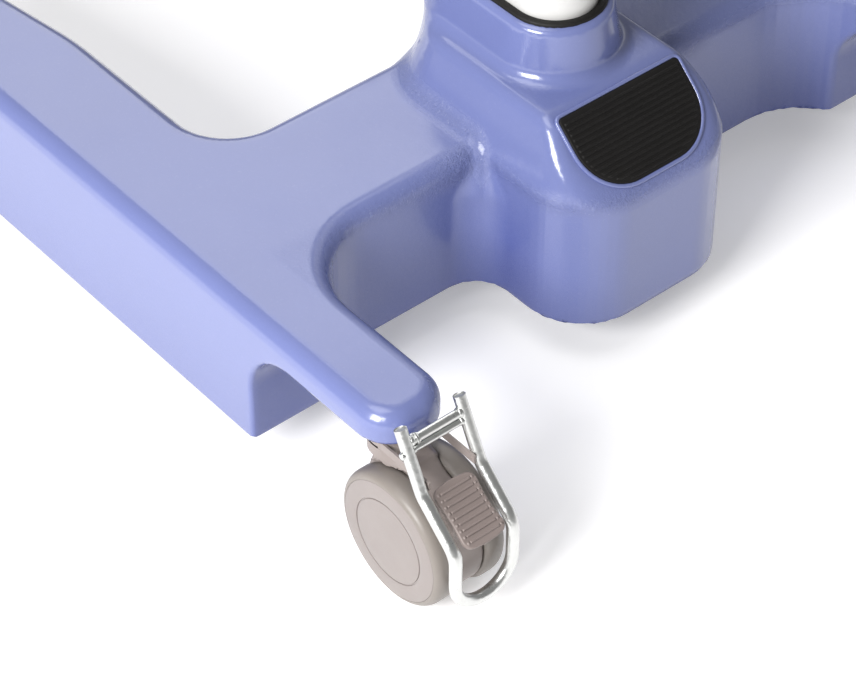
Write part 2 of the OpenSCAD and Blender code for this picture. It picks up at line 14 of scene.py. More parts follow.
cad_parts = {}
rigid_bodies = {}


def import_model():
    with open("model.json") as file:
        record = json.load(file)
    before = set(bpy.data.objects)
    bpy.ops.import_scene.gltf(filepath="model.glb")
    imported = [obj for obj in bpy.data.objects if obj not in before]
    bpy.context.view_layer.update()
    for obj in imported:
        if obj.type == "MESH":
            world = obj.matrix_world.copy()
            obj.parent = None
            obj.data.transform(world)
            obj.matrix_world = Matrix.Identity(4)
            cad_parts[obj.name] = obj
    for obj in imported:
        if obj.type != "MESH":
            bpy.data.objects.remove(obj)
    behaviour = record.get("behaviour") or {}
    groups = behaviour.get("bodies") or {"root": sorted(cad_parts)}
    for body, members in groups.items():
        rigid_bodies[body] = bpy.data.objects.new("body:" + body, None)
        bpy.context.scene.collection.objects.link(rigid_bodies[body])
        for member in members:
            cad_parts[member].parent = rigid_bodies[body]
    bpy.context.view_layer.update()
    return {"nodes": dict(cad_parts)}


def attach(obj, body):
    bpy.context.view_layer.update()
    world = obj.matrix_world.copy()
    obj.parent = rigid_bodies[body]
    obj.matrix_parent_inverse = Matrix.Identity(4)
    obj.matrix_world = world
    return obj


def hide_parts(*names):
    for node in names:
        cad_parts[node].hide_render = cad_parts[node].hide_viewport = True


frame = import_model()

MM = 0.001
STEM_X, REAR_Y, FRONT_Y = 350.0, -420.0, 496.0  # the castor stems
DECK_Z, SKIRT_Z, ARM_Z = 187.0, 42.0, 156.0  # deck, lower rim, and the arms' underside over the castors
WALL, DECK_EDGE = 7.0, 17.0
BLOCK_Z, BLOCK_HALF, BLOCK_REAR = 237.0, 101.0, -362.0
DRAFT_Z, BLOCK_DRAFT = 178.0, 24.0  # the mast block leans in from this height up
PEDESTAL_Z, PEDESTAL_FOOT_Z, PEDESTAL_DRAFT = 287.0, 240.0, 8.0
ARCH_REAR, ARCH_FRONT, ARCH_X, ARCH_R = -275.0, 351.0, 200.0, 55.0
CAVITY_REAR, CAVITY_FRONT = -262.0, 338.0
PAD_Y, PAD_Z, PAD_SLOPE = -294.0, 235.0, math.radians(42)
PAD_HALF, PAD_LENGTH, PAD_CORNER, RIB_PITCH = 69.0, 78.0, 46.0, 5.2
MAST_Y, MAST_W, MAST_L = -170.0, 78.0, 160.0
WHEEL_R, TRAIL, CASTOR_W, HOUSING_W = 62.5, 33.0, 75.0, 29.0
NECK_R, COLLAR_R = 23.0, 25.4
BRAKE_PIN_Y, BRAKE_PIN_Z = -79.0, 103.0
GUARD_X, GUARD_Y, GUARD_Z = 30.0, -108.5, 67.0  # the rod guard's half width and the centre of its bend
CROSS_PIN_Y, CROSS_PIN_Z = -47.5, 180.0
SECOND_BAR_Y, SECOND_BAR_Z = -50.5, 173.3
TILT_Z, HANGER_Y = 1146.0, 330.0
HOOK_X = 262.0
BOX_REAR, BOX_W, BOX_Z, BOX_H, PACK_H = -330.0, 112.0, 560.0, 150.0, 170.0
HANDLE_Y, HANDLE_Z, HANDLE_W = -330.0, 985.0, 440.0
NET_ROUNDS = 3  # passes that pull a surface net onto its field
BEVEL_ANGLE = math.radians(35)
COAT_ROUGH = 0.12
PURE_WHITE = (1.0, 1.0, 1.0, 1.0)


# ---------- distance fields (negative inside) ----------

def join(a, b, r):
    """Union of two distance fields with a circular fillet of radius r."""
    return np.maximum(np.minimum(a, b), r) - np.hypot(np.maximum(r - a, 0), np.maximum(r - b, 0))


def meet(a, b, r):
    """Intersection of two distance fields with a rounded edge of radius r."""
    return -join(-a, -b, r)


def smooth_step(x, lo, hi):
    t = np.clip((x - lo) / (hi - lo), 0, 1)
    return t * t * (3 - 2 * t)


def rounded_polygon(corners, steps):
    """Corner list of (x, y, radius) to a dense outline with each corner rounded."""
    out = []
    count = len(corners)
    for i, (x, y, r) in enumerate(corners):
        p = np.array([x, y], float)
        a = np.array(corners[i - 1][:2], float) - p
        b = np.array(corners[(i + 1) % count][:2], float) - p
        if r <= 0:
            out.append(p)
            continue
        ua, ub = a / np.linalg.norm(a), b / np.linalg.norm(b)
        half = math.acos(np.clip(ua @ ub, -1, 1)) / 2
        cut = r / math.tan(half)
        centre = p + (ua + ub) / np.linalg.norm(ua + ub) * r / math.sin(half)
        start, end = p + ua * cut - centre, p + ub * cut - centre
        turn = math.atan2(start[0] * end[1] - start[1] * end[0], start @ end)
        base = math.atan2(start[1], start[0])
        for k in range(steps + 1):
            angle = base + turn * k / steps
            out.append(centre + r * np.array([math.cos(angle), math.sin(angle)]))
    return np.array(out)


def polygon_distance(x, y, outline):
    """Signed distance from points to a closed outline."""
    x, y = np.broadcast_arrays(np.asarray(x, float), np.asarray(y, float))
    best = np.full(x.shape, 1e18)
    inside = np.zeros(x.shape, bool)
    ends = np.roll(outline, -1, axis=0)
    for (ax, ay), (bx, by) in zip(outline, ends):
        ex, ey = bx - ax, by - ay
        wx, wy = x - ax, y - ay
        t = np.clip((wx * ex + wy * ey) / max(ex * ex + ey * ey, 1e-12), 0, 1)
        best = np.minimum(best, (wx - t * ex) ** 2 + (wy - t * ey) ** 2)
        if ay != by:
            crosses = (ay > y) != (by > y)
            inside ^= crosses & (wx < wy * ex / ey)
    return np.where(inside, -1, 1) * np.sqrt(best)


def stadium(x, y, width, length):
    """Distance to a stadium centred on the origin, its length along y."""
    half = (length - width) / 2
    return np.hypot(x, y - np.clip(y, -half, half)) - width / 2


def gradient(field, p, step=0.4):
    parts = []
    for axis in range(3):
        lo, hi = p.copy(), p.copy()
        lo[:, axis] -= step
        hi[:, axis] += step
        parts.append((field(*hi.T) - field(*lo.T)) / (2 * step))
    return np.stack(parts, 1)


def net(field, lo, hi, step):
    """Surface net of a distance field, pulled onto its zero surface: points in mm and quads."""
    axes = [np.arange(lo[i], hi[i] + step, step) for i in range(3)]
    grid = axes[0][:, None, None], axes[1][None, :, None], axes[2][None, None, :]
    v = np.asarray(field(*grid), np.float32)
    s = v < 0
    count = np.zeros([n - 1 for n in v.shape], np.int8)
    corners = [(i, j, k) for i in (0, 1) for j in (0, 1) for k in (0, 1)]
    for i, j, k in corners:
        count += s[i:v.shape[0] - 1 + i, j:v.shape[1] - 1 + j, k:v.shape[2] - 1 + k]
    cells = np.argwhere((count > 0) & (count < 8))
    index = np.full(count.shape, -1, np.int64)
    index[tuple(cells.T)] = np.arange(len(cells))
    total = np.zeros((len(cells), 3))
    hits = np.zeros(len(cells))
    for a in corners:
        for axis in range(3):
            if a[axis]:
                continue
            b = list(a)
            b[axis] = 1
            va = v[tuple((cells + a).T)]
            vb = v[tuple((cells + b).T)]
            cross = (va < 0) != (vb < 0)
            t = np.where(cross, va / np.where(cross, va - vb, 1), 0)
            place = np.array(a, float) + t[:, None] * (np.array(b) - np.array(a))
            total += place * cross[:, None]
            hits += cross
    points = np.array(lo, float) + step * (cells + total / hits[:, None])
    start = points.copy()
    for _ in range(NET_ROUNDS):
        g = gradient(field, points)
        d = field(*points.T)
        move = -d[:, None] * g / np.maximum((g * g).sum(1), 0.05)[:, None]
        points += np.clip(move, -step, step)
        points = start + np.clip(points - start, -0.9 * step, 0.9 * step)
    quads = []
    for axis in range(3):
        u, w = (axis + 1) % 3, (axis + 2) % 3
        first = [slice(None)] * 3
        second = [slice(None)] * 3
        first[axis], second[axis] = slice(0, -1), slice(1, None)
        change = s[tuple(first)] != s[tuple(second)]
        edges = np.argwhere(change)
        within = (edges[:, u] > 0) & (edges[:, w] > 0)
        within &= (edges[:, u] < v.shape[u] - 1) & (edges[:, w] < v.shape[w] - 1)
        edges = edges[within]
        du, dw = np.eye(3, dtype=int)[u], np.eye(3, dtype=int)[w]
        ring = [index[tuple((edges - a).T)] for a in (0 * du, du, du + dw, dw)]
        ring = np.stack(ring, 1)
        flip = ~s[tuple(edges.T)]
        ring[flip] = ring[flip][:, ::-1]
        quads.append(ring)
    quads = np.concatenate(quads)
    return points, quads[(quads >= 0).all(1)]


# ---------- mesh makers ----------

def mesh_object(name, points, faces, normals=None):
    """Smooth mesh from points in mm, with vertex normals of its own if they are given."""
    mesh = bpy.data.meshes.new(name)
    mesh.from_pydata((np.asarray(points) * MM).tolist(), [], [list(map(int, f)) for f in faces])
    mesh.validate()
    mesh.polygons.foreach_set("use_smooth", [True] * len(mesh.polygons))
    if normals is not None:
        mesh.normals_split_custom_set_from_vertices(normals.tolist())
    obj = bpy.data.objects.new(name, mesh)
    bpy.context.scene.collection.objects.link(obj)
    return obj


def unit_gradient(field, points, step=0.4):
    g = gradient(field, points, step)
    return g / np.maximum(np.linalg.norm(g, axis=1), 1e-6)[:, None]


def field_object(name, field, lo, hi, step):
    """Object from a distance field, shaded by the field's own gradient."""
    points, quads = net(field, lo, hi, step)
    return mesh_object(name, points, quads, unit_gradient(field, points))


def finished(obj, sharp):
    """Doubles merged, faces turned outwards, and edges above an angle in degrees kept crisp."""
    bm = bmesh.new()
    bm.from_mesh(obj.data)
    bmesh.ops.remove_doubles(bm, verts=bm.verts, dist=1e-7)
    bmesh.ops.recalc_face_normals(bm, faces=bm.faces)
    bm.to_mesh(obj.data)
    bm.free()
    obj.data.set_sharp_from_angle(angle=math.radians(sharp))
    return obj


def loft(name, rings, sharp, close_ends=True):
    """Skin over rings with the same number of points, in mm."""
    n = len(rings[0])
    points = np.concatenate([np.asarray(r, float) for r in rings])
    faces = [(i * n + j, i * n + (j + 1) % n, (i + 1) * n + (j + 1) % n, (i + 1) * n + j)
             for i in range(len(rings) - 1) for j in range(n)]
    if close_ends:
        faces.append(tuple(range(n))[::-1])
        faces.append(tuple(range((len(rings) - 1) * n, len(rings) * n)))
    return finished(mesh_object(name, points, faces), sharp)


def inset_outline(outline, d):
    """Moves each point of an anticlockwise outline inwards by d."""
    before, after = np.roll(outline, 1, axis=0), np.roll(outline, -1, axis=0)
    a, b = outline - before, after - outline
    na = np.stack([-a[:, 1], a[:, 0]], 1) / np.maximum(np.linalg.norm(a, axis=1), 1e-9)[:, None]
    nb = np.stack([-b[:, 1], b[:, 0]], 1) / np.maximum(np.linalg.norm(b, axis=1), 1e-9)[:, None]
    n = na + nb
    n /= np.maximum((n * n).sum(1) / 2, 0.2)[:, None]
    return outline + n * d


def lathe(name, profile, centre, axis, segments, sharp=32):
    """Closed profile of (radius, distance along the axis) turned about an axis through centre."""
    profile = np.asarray(profile, float)
    n = len(profile)
    i = "XYZ".index(axis)
    points = np.zeros((segments, n, 3))
    for k in range(segments):
        a = 2 * math.pi * k / segments
        points[k, :, i] = profile[:, 1]
        points[k, :, (i + 1) % 3] = profile[:, 0] * math.cos(a)
        points[k, :, (i + 2) % 3] = profile[:, 0] * math.sin(a)
    points = points.reshape(-1, 3) + np.array(centre, float)
    faces = []
    for k in range(segments):
        m = (k + 1) % segments
        for j in range(n):
            faces.append((k * n + j, k * n + (j + 1) % n, m * n + (j + 1) % n, m * n + j))
    return finished(mesh_object(name, points, faces), sharp)


def bent_path(points, radius, steps):
    """Polyline in 3-D with each inner corner rounded."""
    points = [np.array(p, float) for p in points]
    out = [points[0]]
    for before, p, after in zip(points, points[1:], points[2:]):
        run_in, run_out = np.linalg.norm(before - p), np.linalg.norm(after - p)
        ua, ub = (before - p) / run_in, (after - p) / run_out
        half = math.acos(np.clip(ua @ ub, -1, 1)) / 2
        cut = min(radius / math.tan(half), 0.49 * run_in, 0.49 * run_out)
        r = cut * math.tan(half)
        middle = p + (ua + ub) / np.linalg.norm(ua + ub) * r / math.sin(half)
        a, b = p + ua * cut - middle, p + ub * cut - middle
        turn = math.acos(np.clip(a @ b / (r * r), -1, 1))
        for k in range(steps + 1):
            t = k / steps
            out.append(middle + (math.sin((1 - t) * turn) * a + math.sin(t * turn) * b) / math.sin(turn))
    out.append(points[-1])
    return out


def circle(centre, radius, side, up, segments):
    """Ring of points round a centre, in the plane of two unit vectors."""
    return [centre + radius * (math.cos(a) * side + math.sin(a) * up)
            for a in np.linspace(0, 2 * math.pi, segments, endpoint=False)]


def sweep(name, path, radius, segments, cap):
    """Round tube along a path, its ends rounded over the length cap."""
    path = [np.array(p, float) for p in path]
    tangents = []
    for i in range(len(path)):
        t = path[min(i + 1, len(path) - 1)] - path[max(i - 1, 0)]
        tangents.append(t / np.linalg.norm(t))
    side = np.cross(tangents[0], [0.0, 0.0, 1.0])
    if np.linalg.norm(side) < 0.1:
        side = np.cross(tangents[0], [1.0, 0.0, 0.0])
    side /= np.linalg.norm(side)
    rings = []
    for i, (p, t) in enumerate(zip(path, tangents)):
        side = side - t * (side @ t)
        side /= np.linalg.norm(side)
        up = np.cross(side, t)
        end = {0: 1, len(path) - 1: -1}.get(i, 0)
        if not end:
            rings.append(circle(p, radius, side, up, segments))
            continue
        for k in (0, 1, 2)[::end]:
            back = cap * (1 - math.sin(math.pi / 2 * k / 3))
            r = radius - cap * (1 - math.sin(math.pi / 2 * (k + 0.6) / 3))
            rings.append(circle(p + end * t * back, r, side, up, segments))
    return loft(name, rings, 40)


def loop_tube(name, path, radius):
    """Closed round tube along a flat loop."""
    path = [np.array(p, float) for p in path]
    n = len(path)
    normal = np.cross(path[n // 3] - path[0], path[2 * n // 3] - path[0])
    normal /= np.linalg.norm(normal)
    rings = []
    for i in range(n):
        t = path[(i + 1) % n] - path[i - 1]
        t /= np.linalg.norm(t)
        rings.append(circle(path[i], radius, np.cross(normal, t), normal, 12))
    return loft(name, rings + rings[:1], 50, close_ends=False)


def mast_outline(gap, corner):
    """Outline of the mast, grown by a gap."""
    w, length = MAST_W / 2 + gap, MAST_L / 2 + gap
    corners = [(-w, -length, corner), (w, -length, corner), (w, length, corner), (-w, length, corner)]
    return rounded_polygon(corners, 16)


def mast_ring(name, levels):
    """Closed ring round the mast from pairs of an outline and its height."""
    rings = []
    for outline, z in levels:
        rings.append(np.column_stack([outline + np.array([0, MAST_Y]), np.full(len(outline), float(z))]))
    return loft(name, rings, 50, close_ends=False)


def merged(name, objects):
    """One object from several, each keeping its own surface."""
    first = objects[0]
    for o in bpy.context.view_layer.objects:
        o.select_set(False)
    for o in objects:
        o.select_set(True)
    bpy.context.view_layer.objects.active = first
    bpy.ops.object.join()
    first.name = name
    first.data.name = name
    return first


def move_mm(obj, offset, turn=0.0, mirror=False):
    """Mirrors an object's mesh in X, turns it about Z, then shifts it."""
    m = Matrix.Translation(Vector(offset) * MM) @ Matrix.Rotation(turn, 4, "Z")
    if mirror:
        m = m @ Matrix.Scale(-1, 4, (1, 0, 0))
        obj.data.flip_normals()
    obj.data.transform(m)
    return obj


def tip_mm(obj, offset, angle):
    """Tips an object's mesh about X, then shifts it."""
    obj.data.transform(Matrix.Translation(Vector(offset) * MM) @ Matrix.Rotation(angle, 4, "X"))


def copy_of(obj, name):
    c = bpy.data.objects.new(name, obj.data.copy())
    c.data.name = name
    bpy.context.scene.collection.objects.link(c)
    return c


def bevel_edges(obj, width, segments):
    m = obj.modifiers.new("edges", "BEVEL")
    m.width = width * MM
    m.segments = segments
    m.limit_method = "ANGLE"
    m.angle_limit = BEVEL_ANGLE


# ---------- materials ----------

class Nodes:
    """Short hand for building a node tree."""

    def __init__(self, name):
        self.material = bpy.data.materials.new(name)
        self.material.use_nodes = True
        self.tree = self.material.node_tree
        self.shader = self.tree.nodes["Principled BSDF"]
        self.place = self.add("ShaderNodeTexCoord").outputs["Object"]

    def add(self, kind, **settings):
        node = self.tree.nodes.new(kind)
        for key, value in settings.items():
            setattr(node, key, value)
        return node

    def link(self, a, b):
        self.tree.links.new(a, b)

    def noise(self, scale, detail, roughness, stretch=None):
        node = self.add("ShaderNodeTexNoise")
        node.inputs["Scale"].default_value = scale
        node.inputs["Detail"].default_value = detail
        node.inputs["Roughness"].default_value = roughness
        source = self.place
        if stretch:
            mapping = self.add("ShaderNodeMapping")
            mapping.inputs["Scale"].default_value = stretch
            self.link(source, mapping.inputs["Vector"])
            source = mapping.outputs["Vector"]
        self.link(source, node.inputs["Vector"])
        return node.outputs["Fac"]

    def remap(self, value, a0, a1, b0, b1):
        node = self.add("ShaderNodeMapRange")
        for key, v in zip(("From Min", "From Max", "To Min", "To Max"), (a0, a1, b0, b1)):
            node.inputs[key].default_value = v
        self.link(value, node.inputs["Value"])
        return node.outputs["Result"]

    def math(self, operation, a, b):
        node = self.add("ShaderNodeMath", operation=operation)
        for socket, v in zip(node.inputs, (a, b)):
            if isinstance(v, (int, float)):
                socket.default_value = v
            else:
                self.link(v, socket)
        return node.outputs[0]

    def mix(self, factor, a, b):
        node = self.add("ShaderNodeMix", data_type="RGBA")
        self.link(factor, node.inputs["Factor"])
        for socket, v in ((node.inputs[6], a), (node.inputs[7], b)):
            if isinstance(v, tuple):
                socket.default_value = v
            else:
                self.link(v, socket)
        return node.outputs[2]

    def bump(self, height, distance, strength=1.0, before=None):
        node = self.add("ShaderNodeBump")
        node.inputs["Distance"].default_value = distance
        node.inputs["Strength"].default_value = strength
        self.link(height, node.inputs["Height"])
        if before is not None:
            self.link(before, node.inputs["Normal"])
        return node.outputs["Normal"]


def rgb(r, g, b):
    """sRGB 0-255 to a linear colour."""
    linear = [c / 255 / 12.92 if c <= 10 else ((c / 255 + 0.055) / 1.055) ** 2.4 for c in (r, g, b)]
    return tuple(linear) + (1.0,)


def shade(colour, k):
    return tuple(min(c * k, 1.0) for c in colour[:3]) + (1.0,)


def finish_material(name, colour, rough, *, spread, tone_scale, grain, wear, grain_depth=0.00002,
                    metallic=0.0, wave=None, wave_depth=0.0, coat=0.0, brushed=None, specular=0.5, dirt=None):
    """Colour variation, grain, uneven gloss, wear marks, and brushing or orange peel where asked for."""
    n = Nodes(name)
    tone = n.remap(n.noise(tone_scale, 5, 0.6), 0.3, 0.7, 0, 1)
    base = n.mix(tone, shade(colour, 1 - spread), shade(colour, 1 + spread))
    fine = n.noise(grain, 3, 0.6)
    base = n.mix(n.remap(fine, 0.35, 0.65, 0, 0.35), base, shade(colour, 1 - 1.5 * spread))
    scuffs = n.noise(28, 8, 0.7, (1.0, 0.35, 2.2))
    scuff_mask = n.remap(scuffs, 0.62, 0.78, 0, wear)
    base = n.mix(scuff_mask, base, dirt or shade(colour, 0.72))
    n.link(base, n.shader.inputs["Base Color"])
    gloss = n.remap(n.noise(tone_scale * 3.1, 6, 0.65), 0.3, 0.7, rough * 0.86, min(rough * 1.18, 1))
    n.link(n.math("ADD", gloss, n.remap(scuffs, 0.6, 0.8, 0, 0.32 * wear)), n.shader.inputs["Roughness"])
    n.shader.inputs["Metallic"].default_value = metallic
    n.shader.inputs["Specular IOR Level"].default_value = specular
    if coat:
        n.shader.inputs["Coat Weight"].default_value = coat
        n.shader.inputs["Coat Roughness"].default_value = COAT_ROUGH
    normal = n.bump(fine, grain_depth)
    if brushed:
        normal = n.bump(n.noise(160, 4, 0.7, brushed), 0.00003, 0.8, normal)
    if wave:
        normal = n.bump(n.noise(wave, 2, 0.5), wave_depth, 1.0, normal)
    n.link(normal, n.shader.inputs["Normal"])
    return n.material


def paint_material():
    """Blue casting paint: orange peel, pale specks and dust, sand-cast grit where the mask is, and painted
    shade in the hollows, where ambient occlusion darkens the colour and dims the specular and coat.
    """
    n = Nodes("chassis_blue")
    colour = rgb(107, 116, 165)
    mask = n.add("ShaderNodeAttribute", attribute_name="cast_rough").outputs["Fac"]
    tone = n.remap(n.noise(3.2, 4, 0.55), 0.3, 0.7, 0, 1)
    base = n.mix(tone, shade(colour, 0.955), shade(colour, 1.04))
    specks = n.remap(n.noise(420, 3, 0.7), 0.60, 0.70, 0, 1)
    base = n.mix(n.math("MULTIPLY", specks, n.remap(mask, 0, 1, 0.05, 0.55)), base, rgb(168, 174, 206))
    dust = n.remap(n.noise(60, 8, 0.75, (1.0, 0.6, 1.6)), 0.63, 0.80, 0, 0.22)
    base = n.mix(dust, base, rgb(132, 140, 184))
    # Painted shade: ambient occlusion turns the colour deep blue in the hollows and under the deck, and fades
    # the specular and coat there.
    painted_shade_occlusion = n.add("ShaderNodeAmbientOcclusion", samples=6)
    painted_shade_occlusion.inputs["Distance"].default_value = 0.35
    clear_of_painted_shade = n.remap(painted_shade_occlusion.outputs["AO"], 0.15, 0.58, 0, 1)
    base = n.mix(clear_of_painted_shade, rgb(60, 70, 132), base)
    n.link(base, n.shader.inputs["Base Color"])
    n.link(n.remap(clear_of_painted_shade, 0, 1, 0.12, 0.55), n.shader.inputs["Specular IOR Level"])
    n.link(n.remap(clear_of_painted_shade, 0, 1, 0.05, 0.5), n.shader.inputs["Coat Weight"])
    gloss = n.remap(n.noise(11, 6, 0.6), 0.3, 0.7, 0.17, 0.27)
    n.link(n.math("ADD", gloss, n.math("MULTIPLY", mask, 0.12)), n.shader.inputs["Roughness"])
    n.shader.inputs["Coat Roughness"].default_value = COAT_ROUGH
    peel = n.bump(n.noise(190, 3, 0.6), 0.0004, 0.5)
    grit = n.math("MULTIPLY", n.noise(330, 5, 0.75), n.remap(mask, 0, 1, 0.02, 1.0))
    n.link(n.bump(grit, 0.0022, 1.0, peel), n.shader.inputs["Normal"])
    return n.material


BLUE = paint_material()
WHITE = finish_material("white_enamel", rgb(214, 213, 211), 0.24, spread=0.03, tone_scale=4, grain=700,
                        wear=0.16, wave=120, wave_depth=0.0002, coat=0.3, dirt=rgb(196, 194, 188))
RUBBER = finish_material("black_rubber", rgb(17, 15, 14), 0.62, spread=0.16, tone_scale=18, grain=1400,
                         wear=0.3, grain_depth=0.00006, specular=0.35, dirt=rgb(48, 45, 42))
ZINC = finish_material("bright_zinc", rgb(214, 215, 213), 0.30, spread=0.06, tone_scale=38, grain=800,
                       wear=0.3, metallic=1.0, grain_depth=0.00003, wave=210, wave_depth=0.0003,
                       dirt=rgb(150, 148, 142))
STEEL = finish_material("turned_steel", rgb(176, 178, 180), 0.3, spread=0.07, tone_scale=26, grain=1000,
                        wear=0.25, metallic=1.0, brushed=(1.0, 9.0, 1.0), dirt=rgb(112, 108, 102))
TAUPE = finish_material("castor_taupe", rgb(140, 130, 126), 0.42, spread=0.05, tone_scale=12, grain=1100,
                        wear=0.2, grain_depth=0.00004, wave=330, wave_depth=0.00012, dirt=rgb(112, 103, 98))
PEDAL = finish_material("pedal_taupe", rgb(131, 119, 115), 0.46, spread=0.06, tone_scale=20, grain=1300,
                        wear=0.3, grain_depth=0.00005, dirt=rgb(104, 94, 89))
DISC = finish_material("wheel_disc", rgb(136, 128, 125), 0.4, spread=0.035, tone_scale=10, grain=1200,
                       wear=0.16, grain_depth=0.00004, dirt=rgb(116, 109, 106))
TYRE = finish_material("wheel_tyre", rgb(128, 121, 115), 0.38, spread=0.06, tone_scale=16, grain=1500,
                       wear=0.35, grain_depth=0.00006, dirt=rgb(128, 122, 114))
GREY = finish_material("grey_plastic", rgb(98, 101, 106), 0.48, spread=0.06, tone_scale=9, grain=1300,
                       wear=0.22, grain_depth=0.00009, dirt=rgb(72, 73, 76))
HANDLE = finish_material("handle_enamel", rgb(88, 92, 98), 0.3, spread=0.05, tone_scale=7, grain=900,
                         wear=0.24, wave=180, wave_depth=0.0002, coat=0.25, dirt=rgb(60, 62, 66))
DARK = finish_material("dark_plastic", rgb(46, 48, 52), 0.5, spread=0.1, tone_scale=10, grain=1300,
                       wear=0.3, grain_depth=0.0001, dirt=rgb(76, 77, 80))
RED = finish_material("red_plastic", rgb(196, 34, 28), 0.3, spread=0.07, tone_scale=30, grain=1400,
                      wear=0.2, coat=0.2, dirt=rgb(140, 24, 20))
GREEN = finish_material("green_plastic", rgb(52, 138, 78), 0.36, spread=0.07, tone_scale=34, grain=1400,
                        wear=0.2, dirt=rgb(36, 96, 54))


def dress(obj, material, body, slot, *nodes):
    """Material, body and the CAD nodes that the piece stands for. The slot argument is not used."""
    obj.data.materials.clear()
    obj.data.materials.append(material)
    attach(obj, body)
    if nodes:
        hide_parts(*nodes)


def keep(node, material, edge=0.6, segments=2):
    """Shows a CAD node with softened edges and a procedural finish."""
    obj = frame["nodes"][node]
    obj.data.materials.clear()
    obj.data.materials.append(material)
    if edge:
        bevel_edges(obj, edge, segments)


# ---------- chassis ----------

LEG_SIDE = [(312, -235, 80), (312, -451, 34), (388, -451, 34), (388, 534, 38), (312, 534, 38),
            (312, 380, 300), (276, 120, 300), (276, -88, 53)]
DECK = rounded_polygon(LEG_SIDE + [(-x, y, r) for x, y, r in LEG_SIDE[::-1]], 10)
BLOCK = rounded_polygon([(-BLOCK_HALF, BLOCK_REAR, 62), (BLOCK_HALF, BLOCK_REAR, 62), (BLOCK_HALF, -80, 74),
                         (-BLOCK_HALF, -80, 74)], 12)
PAD = rounded_polygon([(-PAD_HALF, -PAD_LENGTH, PAD_CORNER), (PAD_HALF, -PAD_LENGTH, PAD_CORNER),
                       (PAD_HALF, 0, 4), (-PAD_HALF, 0, 4)], 12)


def slope_distance(y, z):
    return (z - PAD_Z) * math.cos(PAD_SLOPE) - (y - PAD_Y) * math.sin(PAD_SLOPE)


def chassis_parts(x, y, z):
    """Deck and mast block as separate fields, with what the cavity needs."""
    from_deck = polygon_distance(x, y, DECK)
    lean = BLOCK_DRAFT * np.clip((z - DRAFT_Z) / (BLOCK_Z - DRAFT_Z), 0, 1) ** 1.15
    from_block = polygon_distance(x, y, BLOCK) + lean
    slope = slope_distance(y, z)
    deck = meet(from_deck, z - DECK_Z, DECK_EDGE)
    block = meet(meet(from_block, z - BLOCK_Z, 8), slope, 9)
    return from_deck, from_block, slope, deck, block


def chassis(x, y, z):
    """The hollow casting with its pedestal, its arches over the castors and the hole for the mast."""
    from_deck, from_block, slope, deck, block = chassis_parts(x, y, z)
    body = join(deck, block, 14 + 24 * (1 - smooth_step(z, 140, 182)))
    lean = PEDESTAL_DRAFT * np.clip((z - PEDESTAL_FOOT_Z) / (PEDESTAL_Z - PEDESTAL_FOOT_Z), 0, 1)
    pedestal = meet(stadium(x, y - MAST_Y, MAST_W + 42, MAST_L + 42) + lean, z - PEDESTAL_Z, 6)
    body = join(body, pedestal, 11)
    for beyond in (y - ARCH_REAR, ARCH_FRONT - y):
        body = meet(body, -np.maximum(meet(beyond, z - ARM_Z, ARCH_R), ARCH_X - np.abs(x)), 4)
    body = meet(body, SKIRT_Z - z, 3)
    ends = np.maximum(CAVITY_REAR - y, y - CAVITY_FRONT)
    cavity = np.maximum(meet(from_deck + WALL, z - (DECK_Z - 10), 10), ends)
    cavity = np.minimum(cavity, meet(meet(from_block + WALL + 1, z - (BLOCK_Z - 8), 12), slope + 12, 12))
    body = np.maximum(body, -cavity)
    mast_hole = np.maximum(stadium(x, y - MAST_Y, MAST_W + 0.6, MAST_L + 0.6), 200 - z)
    return np.maximum(body, -mast_hole)


def cast_mask(points):
    """Where the paint looks sand-cast: round the fillets, on the deck's rolled edges and on its rear rim."""
    x, y, z = points.T
    from_deck, from_block, _, deck, block = chassis_parts(x, y, z)
    near = np.clip(1.05 - np.maximum(np.abs(deck), np.abs(block)) / 17, 0, 1) * smooth_step(z, 120, 165)
    rolled = np.clip(1.1 - np.abs(from_deck + 4) / 13, 0, 1) * np.clip(1.3 - from_block / 75, 0, 1)
    rolled = rolled * smooth_step(z, 150, 170) * (y < 0)
    rolled = rolled * np.clip(1.2 - np.abs(deck) / 4, 0, 1) * np.clip(block / 14, 0, 1)
    rim = np.exp(-((z - 176) / 9) ** 2) * smooth_step(-y, 215, 235) * 0.55 * (np.abs(x) < 330)
    return np.clip(np.maximum(np.maximum(near, rolled), rim), 0, 1)


def make_chassis():
    points, quads = net(chassis, (-391.3, -461.9, 36.9), (393, 539, 293), 4.5)
    obj = mesh_object("chassis_casting", points, quads, unit_gradient(chassis, points, 1.2))
    attribute = obj.data.attributes.new("cast_rough", "FLOAT", "POINT")
    attribute.data.foreach_set("value", cast_mask(points).astype(np.float32))
    dress(obj, BLUE, "base", "chassis_paint", "chassis_shell")


def pad_field(x, y, z):
    """Tread pad in the slope's own frame, with ribs across it."""
    inside = polygon_distance(x, y, PAD)
    base = meet(inside, np.abs(z + 0.5) - 2.5, 1.0)
    ridge = 1.2 + 2.0 * smooth_step(np.cos(2 * math.pi * (y + 6.7) / RIB_PITCH), -0.35, 0.45)
    return np.minimum(base, meet(inside + 3.5, np.maximum(z - ridge, -z), 0.7))


def make_pad():
    place = (0, PAD_Y, PAD_Z)
    pad = field_object("ribbed_pad", pad_field, (-71, -80, -4.5), (71, 2, 4.5), 0.95)
    tip_mm(pad, place, PAD_SLOPE)
    dress(pad, RUBBER, "base", "black_rubber", "tread_pad")
    outline = inset_outline(PAD, -1.9)
    rim = loop_tube("pad_rim", [(x, y, 0.2) for x, y in outline], 2.0)
    tip_mm(rim, place, PAD_SLOPE)
    dress(rim, BLUE, "base", "chassis_paint")


